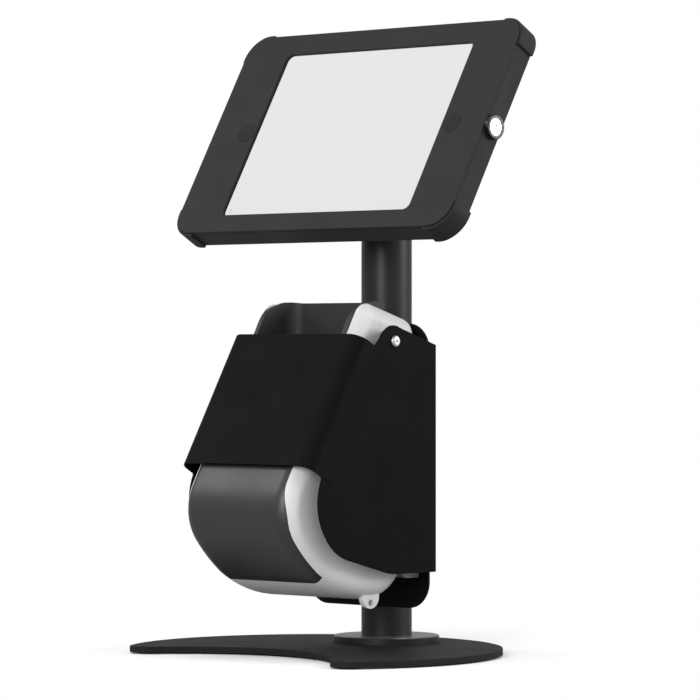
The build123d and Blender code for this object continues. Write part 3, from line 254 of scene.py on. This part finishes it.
def coated(name, colour, vary, rough, rough_vary, grain, depth, metallic=0.0, gloss=0.5):
    """Colour and roughness drift by plus or minus their vary values; the grain has that depth."""
    material, tree, shader = new_material(name)
    shader.inputs["Specular IOR Level"].default_value = gloss
    shader.inputs["Metallic"].default_value = metallic
    dark = [c * (1 - vary) for c in colour]
    pale = [c * (1 + vary) for c in colour]
    speck = noise(tree, grain * SPECK_SCALE_SHARE, SPECK_DETAIL)
    tree.links.new(tint(tree, speck, dark, pale), shader.inputs["Base Color"])
    drift = spread(tree, noise(tree, DRIFT_SCALE), rough - rough_vary, rough + rough_vary)
    tree.links.new(drift, shader.inputs["Roughness"])
    bump(tree, shader, noise(tree, grain), depth)
    return material


def dress(material, *names):
    """Give CAD nodes one finish."""
    for name in names:
        mesh = nodes[name].data
        mesh.materials.clear()
        mesh.materials.append(material)
    print(material.name, "on", len(names), "nodes")


# %% [markdown]
# ## White paper
# The sheet is matt white paper. Near the stand it has to take the shadow, and far out it has to be
# as white as the backdrop, so the camera sees it fade into an even white with the distance from the
# pole. It throws back less light than its own white would, because a bright floor would light up
# the undersides of the cover and the enclosure, which are dark on the real stand.

# %% Finish of the floor
PAPER_ROUGH = 0.9
PAPER_SEEN = (0.95, 0.95, 0.95, 1)
PAPER_BOUNCE = (0.42, 0.42, 0.42, 1)
FADE_FROM = 0.17          # metres from the pole's foot
FADE_TO = 0.36


def fade_with_distance(tree):
    """A share that rises smoothly from 0 to 1 as the distance from the origin passes the fade."""
    place = tree.nodes.new("ShaderNodeTexCoord")
    length = tree.nodes.new("ShaderNodeVectorMath")
    length.operation = "LENGTH"
    tree.links.new(place.outputs["Object"], length.inputs[0])
    far = tree.nodes.new("ShaderNodeMapRange")
    far.interpolation_type = "SMOOTHSTEP"
    far.inputs["From Min"].default_value = FADE_FROM
    far.inputs["From Max"].default_value = FADE_TO
    tree.links.new(length.outputs["Value"], far.inputs["Value"])
    return far.outputs["Result"]


def floor_finish():
    """Paper white to the camera, greyer as a source of bounced light, and glowing white far out."""
    material, tree, shader = new_material("white_paper")
    shader.inputs["Roughness"].default_value = PAPER_ROUGH
    ray = tree.nodes.new("ShaderNodeLightPath")
    share = tree.nodes.new("ShaderNodeMath")
    share.operation = "MULTIPLY"
    tree.links.new(fade_with_distance(tree), share.inputs[0])
    tree.links.new(ray.outputs["Is Camera Ray"], share.inputs[1])
    paper = tree.nodes.new("ShaderNodeMix")
    paper.data_type = "RGBA"
    paper.inputs["A"].default_value = PAPER_BOUNCE
    paper.inputs["B"].default_value = PAPER_SEEN
    tree.links.new(ray.outputs["Is Camera Ray"], paper.inputs["Factor"])
    tree.links.new(paper.outputs["Result"], shader.inputs["Base Color"])
    white = tree.nodes.new("ShaderNodeEmission")
    mix = tree.nodes.new("ShaderNodeMixShader")
    tree.links.new(share.outputs[0], mix.inputs["Fac"])
    tree.links.new(shader.outputs[0], mix.inputs[1])
    tree.links.new(white.outputs[0], mix.inputs[2])
    tree.links.new(mix.outputs[0], tree.nodes["Material Output"].inputs["Surface"])
    return material


floor.data.materials.append(floor_finish())
print("floor bounces", PAPER_BOUNCE[0], "and shows", PAPER_SEEN[0])

# %% [markdown]
# ## Powder coat on the steel
# The base, the pole, the shroud and the brackets are steel under black powder coat. The base's coat
# is the most matt. The pole is smoother and shows the lamps as upright stripes. The shroud is the
# blackest and hardly shines. They get one finish each, because one shared black would make the stand
# look like a single casting.

# %% Finishes of the coated steel
dress(coated("base_coat", colour=(0.014, 0.014, 0.0155), vary=0.10, rough=0.62, rough_vary=0.04,
             grain=1400, depth=20 * MICRON, gloss=0.12), "base_plate")
dress(coated("pole_coat", colour=(0.018, 0.018, 0.020), vary=0.08, rough=0.38, rough_vary=0.03,
             grain=1500, depth=15 * MICRON, gloss=0.30), "pole_tube")
dress(coated("shroud_coat", colour=(0.0022, 0.0026, 0.0036), vary=0.08, rough=0.60, rough_vary=0.04,
             grain=1500, depth=20 * MICRON, gloss=0.065), "printer_shroud")
dress(coated("bracket_coat", colour=(0.004, 0.004, 0.0045), vary=0.10, rough=0.55, rough_vary=0.05,
             grain=1400, depth=20 * MICRON, gloss=0.08),
      "printer_bracket", "clamp_strap_lower", "clamp_strap_upper", "head_socket", "tilt_bracket")

# %% [markdown]
# ## The flange at the pole's foot
# Its top face carries a painted sheen: a grey colour that stands for the white tent it reflects at a
# grazing angle, while its rim is as black as the base. The CAD node is one disc, so the finish tells
# the painted top from the rim by the height above the table. The CAD node is one disc, and splitting
# its mesh isn't allowed, so the finish tells rim and top apart by the height above the table.

# %% Finish of the flange
FLANGE_RIM = (0.032, 0.032, 0.034, 1)
FLANGE_TOP_FROM = 11.1 * MM
FLANGE_TOP_TO = 11.7 * MM


def share_of_height(tree, start, end):
    """A share that rises from 0 to 1 between two heights above the table."""
    place = tree.nodes.new("ShaderNodeTexCoord")
    split = tree.nodes.new("ShaderNodeSeparateXYZ")
    tree.links.new(place.outputs["Object"], split.inputs["Vector"])
    high = tree.nodes.new("ShaderNodeMapRange")
    high.inputs["From Min"].default_value = start
    high.inputs["From Max"].default_value = end
    tree.links.new(split.outputs["Z"], high.inputs["Value"])
    return high.outputs["Result"]


def flange_with_painted_sheen():
    """Grey painted sheen on the top face, giving way to the black rim below the top's edge."""
    # The grey colour set here is painted sheen on the flange's top face, not a bare metal top.
    material = coated("flange_rim_and_painted_sheen", colour=(0.20, 0.20, 0.205), vary=0.06, rough=0.36,
                      rough_vary=0.04, grain=1200, depth=10 * MICRON, metallic=0.7, gloss=0.4)
    tree = material.node_tree
    shader = tree.nodes["Principled BSDF"]
    painted_sheen_colour = shader.inputs["Base Color"].links[0].from_socket
    both = tree.nodes.new("ShaderNodeMix")
    both.data_type = "RGBA"
    both.inputs["A"].default_value = FLANGE_RIM
    tree.links.new(share_of_height(tree, FLANGE_TOP_FROM, FLANGE_TOP_TO), both.inputs["Factor"])
    tree.links.new(painted_sheen_colour, both.inputs["B"])
    tree.links.new(both.outputs["Result"], shader.inputs["Base Color"])
    return material


# The flange's grey top is painted sheen over its black coat.
dress(flange_with_painted_sheen(), "pole_flange")

# %% [markdown]
# ## The enclosure
# The tray, the front frame and the four corner protectors are bent steel in one satin black, a
# shade paler than the shroud. The two discs beside the window are plastic plugs, a touch darker, and
# they are told from the frame by that and by the thin line round them, which is in the CAD.

# %% Finishes of the enclosure
dress(coated("enclosure_coat", colour=(0.0195, 0.0195, 0.0208), vary=0.05, rough=0.60,
             rough_vary=0.04, grain=1700, depth=20 * MICRON, gloss=0.16),
      "enclosure_shell", "front_frame", "frame_hooks", "frame_keeper", "corner_protector_top_left",
      "corner_protector_top_right", "corner_protector_bottom_left", "corner_protector_bottom_right")
dress(coated("cover_plastic", colour=(0.013, 0.013, 0.0142), vary=0.05, rough=0.60, rough_vary=0.04,
             grain=1500, depth=10 * MICRON, gloss=0.16), "home_button_cover", "camera_cover")

# %% [markdown]
# ## Lock, pins and fasteners
# The lock's plug is polished and shows the tent as a white disc inside a glossy black barrel. The
# shroud's two pins are duller, so that their domes still show some shading. The screws that can be
# seen from behind are blackened. Bare metal is full metallic with almost no grain; a blackened
# screw is half way between metal and paint.

# %% Finishes of the lock, the pins and the fasteners
dress(coated("bright_metal", colour=(0.85, 0.85, 0.87), vary=0.03, rough=0.20, rough_vary=0.03,
             grain=1200, depth=1 * MICRON, metallic=1.0),
      "lock_plug", "lock_cam", "cam_screw", "lock_nut", "tear_bar")
dress(coated("pin_metal", colour=(0.52, 0.52, 0.53), vary=0.03, rough=0.34, rough_vary=0.03,
             grain=1200, depth=1 * MICRON, metallic=1.0), "shroud_pins")
dress(coated("lock_black", colour=(0.006, 0.006, 0.007), vary=0.10, rough=0.22, rough_vary=0.03,
             grain=1500, depth=8 * MICRON, gloss=0.3), "lock_barrel")
dress(coated("black_screws", colour=(0.016, 0.016, 0.017), vary=0.10, rough=0.35, rough_vary=0.05,
             grain=1600, depth=10 * MICRON, metallic=0.5),
      "flange_screws", "head_screws", "tilt_bolt", "tilt_nut", "mount_screws", "clamp_screws",
      "clamp_nuts", "printer_screws")

# %% [markdown]
# ## The label printer's case
# The case is moulded in two plastics: a satin white for the base and the flanks, and a dark grey
# roll cover that shines more. The throat where labels come out is a matt dark grey. The white is
# kept well below full white, so that its rounded flanks still shade instead of clipping.

# %% Finishes of the printer's case
dress(coated("white_case", colour=(0.69, 0.68, 0.685), vary=0.015, rough=0.42, rough_vary=0.03,
             grain=1300, depth=10 * MICRON, gloss=0.35), "printer_base", "printer_top_case")
dress(coated("cover_satin", colour=(0.017, 0.017, 0.019), vary=0.05, rough=0.42, rough_vary=0.03,
             grain=1500, depth=12 * MICRON, gloss=0.6), "printer_roll_cover")
dress(coated("throat_plastic", colour=(0.030, 0.030, 0.031), vary=0.08, rough=0.50, rough_vary=0.05,
             grain=1500, depth=10 * MICRON, gloss=0.25),
      "label_exit", "roll_spool", "power_button", "feed_button")
dress(coated("grey_plastic", colour=(0.34, 0.34, 0.35), vary=0.05, rough=0.50, rough_vary=0.04,
             grain=1300, depth=10 * MICRON), "printer_rear_foot")

# %% [markdown]
# ## What is inside, and what it rests on
# These show only when the shroud swings up, the frame opens or the tablet comes out, and in a
# cutaway: plated steel, a circuit board, the roll of label paper, the tablet's own metal back,
# and the rubber of pads, bumpers and the platen. They get the same care in fewer words.

# %% Finishes of the inner parts and the rubber
dress(coated("inner_metal", colour=(0.35, 0.35, 0.37), vary=0.08, rough=0.40, rough_vary=0.05,
             grain=900, depth=10 * MICRON, metallic=0.9),
      "printer_frame", "print_head", "cutter_unit", "drive_motor")
dress(coated("tablet_metal", colour=(0.30, 0.30, 0.32), vary=0.04, rough=0.40, rough_vary=0.03,
             grain=1500, depth=6 * MICRON, metallic=0.9), "tablet_body")
dress(coated("washer_plastic", colour=(0.02, 0.02, 0.02), vary=0.08, rough=0.5, rough_vary=0.05,
             grain=1300, depth=10 * MICRON), "tilt_washers", "shroud_washers")
dress(coated("board_green", colour=(0.02, 0.12, 0.05), vary=0.10, rough=0.4, rough_vary=0.05,
             grain=1300, depth=10 * MICRON), "circuit_board")
dress(coated("label_paper", colour=(0.80, 0.80, 0.78), vary=0.03, rough=0.8, rough_vary=0.05,
             grain=2500, depth=20 * MICRON), "label_roll")
dress(coated("rubber", colour=(0.012, 0.012, 0.012), vary=0.12, rough=0.75, rough_vary=0.06,
             grain=2200, depth=40 * MICRON),
      "base_pads", "cradle_corners", "shroud_bumpers", "printer_feet", "platen_roller")

# %% [markdown]
# ## The screen and its glass
# The tablet shows an even pale panel. A lit screen gives its own light, so the panel emits its
# colour and reflects nearly nothing, and it looks the same from every side. The glass in front is
# almost clear: a small alpha keeps the panel's colour true, where real refraction would cost time
# and add noise for no visible gain.

# %% Screen and glass
PIXEL_GRAIN = 2600.0
PANEL_LOW = (0.820, 0.829, 0.838)
PANEL_HIGH = (0.840, 0.849, 0.858)
PANEL_UNLIT = (0.01, 0.01, 0.01, 1)
PANEL_GLOW = 1.0
PANEL_ROUGH = 0.6
GLASS_COLOUR = (0.02, 0.02, 0.02, 1)
GLASS_COVER = 0.05        # how much of what lies behind the glass hides
GLASS_GLOSS = 0.5
POLISH_SCALE = 60.0
POLISH_ROUGH = (0.25, 0.30)


def screen_finish():
    """An even pale panel that glows a little, with a fine pixel grain."""
    material, tree, shader = new_material("screen_panel")
    glow = tint(tree, noise(tree, PIXEL_GRAIN), PANEL_LOW, PANEL_HIGH)
    tree.links.new(glow, shader.inputs["Emission Color"])
    shader.inputs["Emission Strength"].default_value = PANEL_GLOW
    shader.inputs["Base Color"].default_value = PANEL_UNLIT
    shader.inputs["Roughness"].default_value = PANEL_ROUGH
    shader.inputs["Specular IOR Level"].default_value = 0.0
    return material


def glass_finish():
    """Clear cover glass: mostly see-through, with a faint polish drift."""
    material, tree, shader = new_material("cover_glass")
    shader.inputs["Base Color"].default_value = GLASS_COLOUR
    shader.inputs["Alpha"].default_value = GLASS_COVER
    shader.inputs["Specular IOR Level"].default_value = GLASS_GLOSS
    tree.links.new(spread(tree, noise(tree, POLISH_SCALE), *POLISH_ROUGH), shader.inputs["Roughness"])
    return material


dress(screen_finish(), "tablet_display")
dress(glass_finish(), "tablet_glass")
